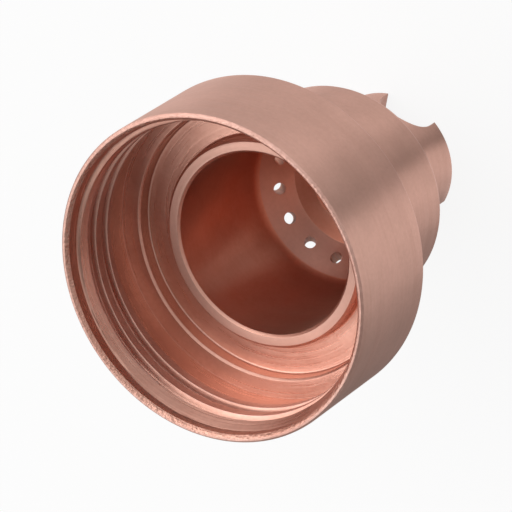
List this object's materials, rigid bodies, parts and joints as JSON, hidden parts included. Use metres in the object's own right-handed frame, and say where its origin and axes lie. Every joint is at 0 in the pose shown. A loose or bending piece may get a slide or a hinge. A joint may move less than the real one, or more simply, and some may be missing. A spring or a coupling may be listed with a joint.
{
  "type": "plasma torch shield",
  "caption": "Stepped copper cup for a plasma cutting torch, with a threaded skirt, a ring of slanting gas vents and a crown of notched lugs round a central orifice.",
  "frame": {"origin": "centre of the nose end, in the plane of the lugs' tips", "axes": "+Z along the axis to the open rim; +X lies through the middle of one lug, to within two degrees"},
  "size_m": [0.034, 0.034, 0.0369],
  "materials": {
    "copper": "satin turned copper"
  },
  "bodies": {
    "root": {"torch_shield": "copper"}
  },
  "joints": []
}
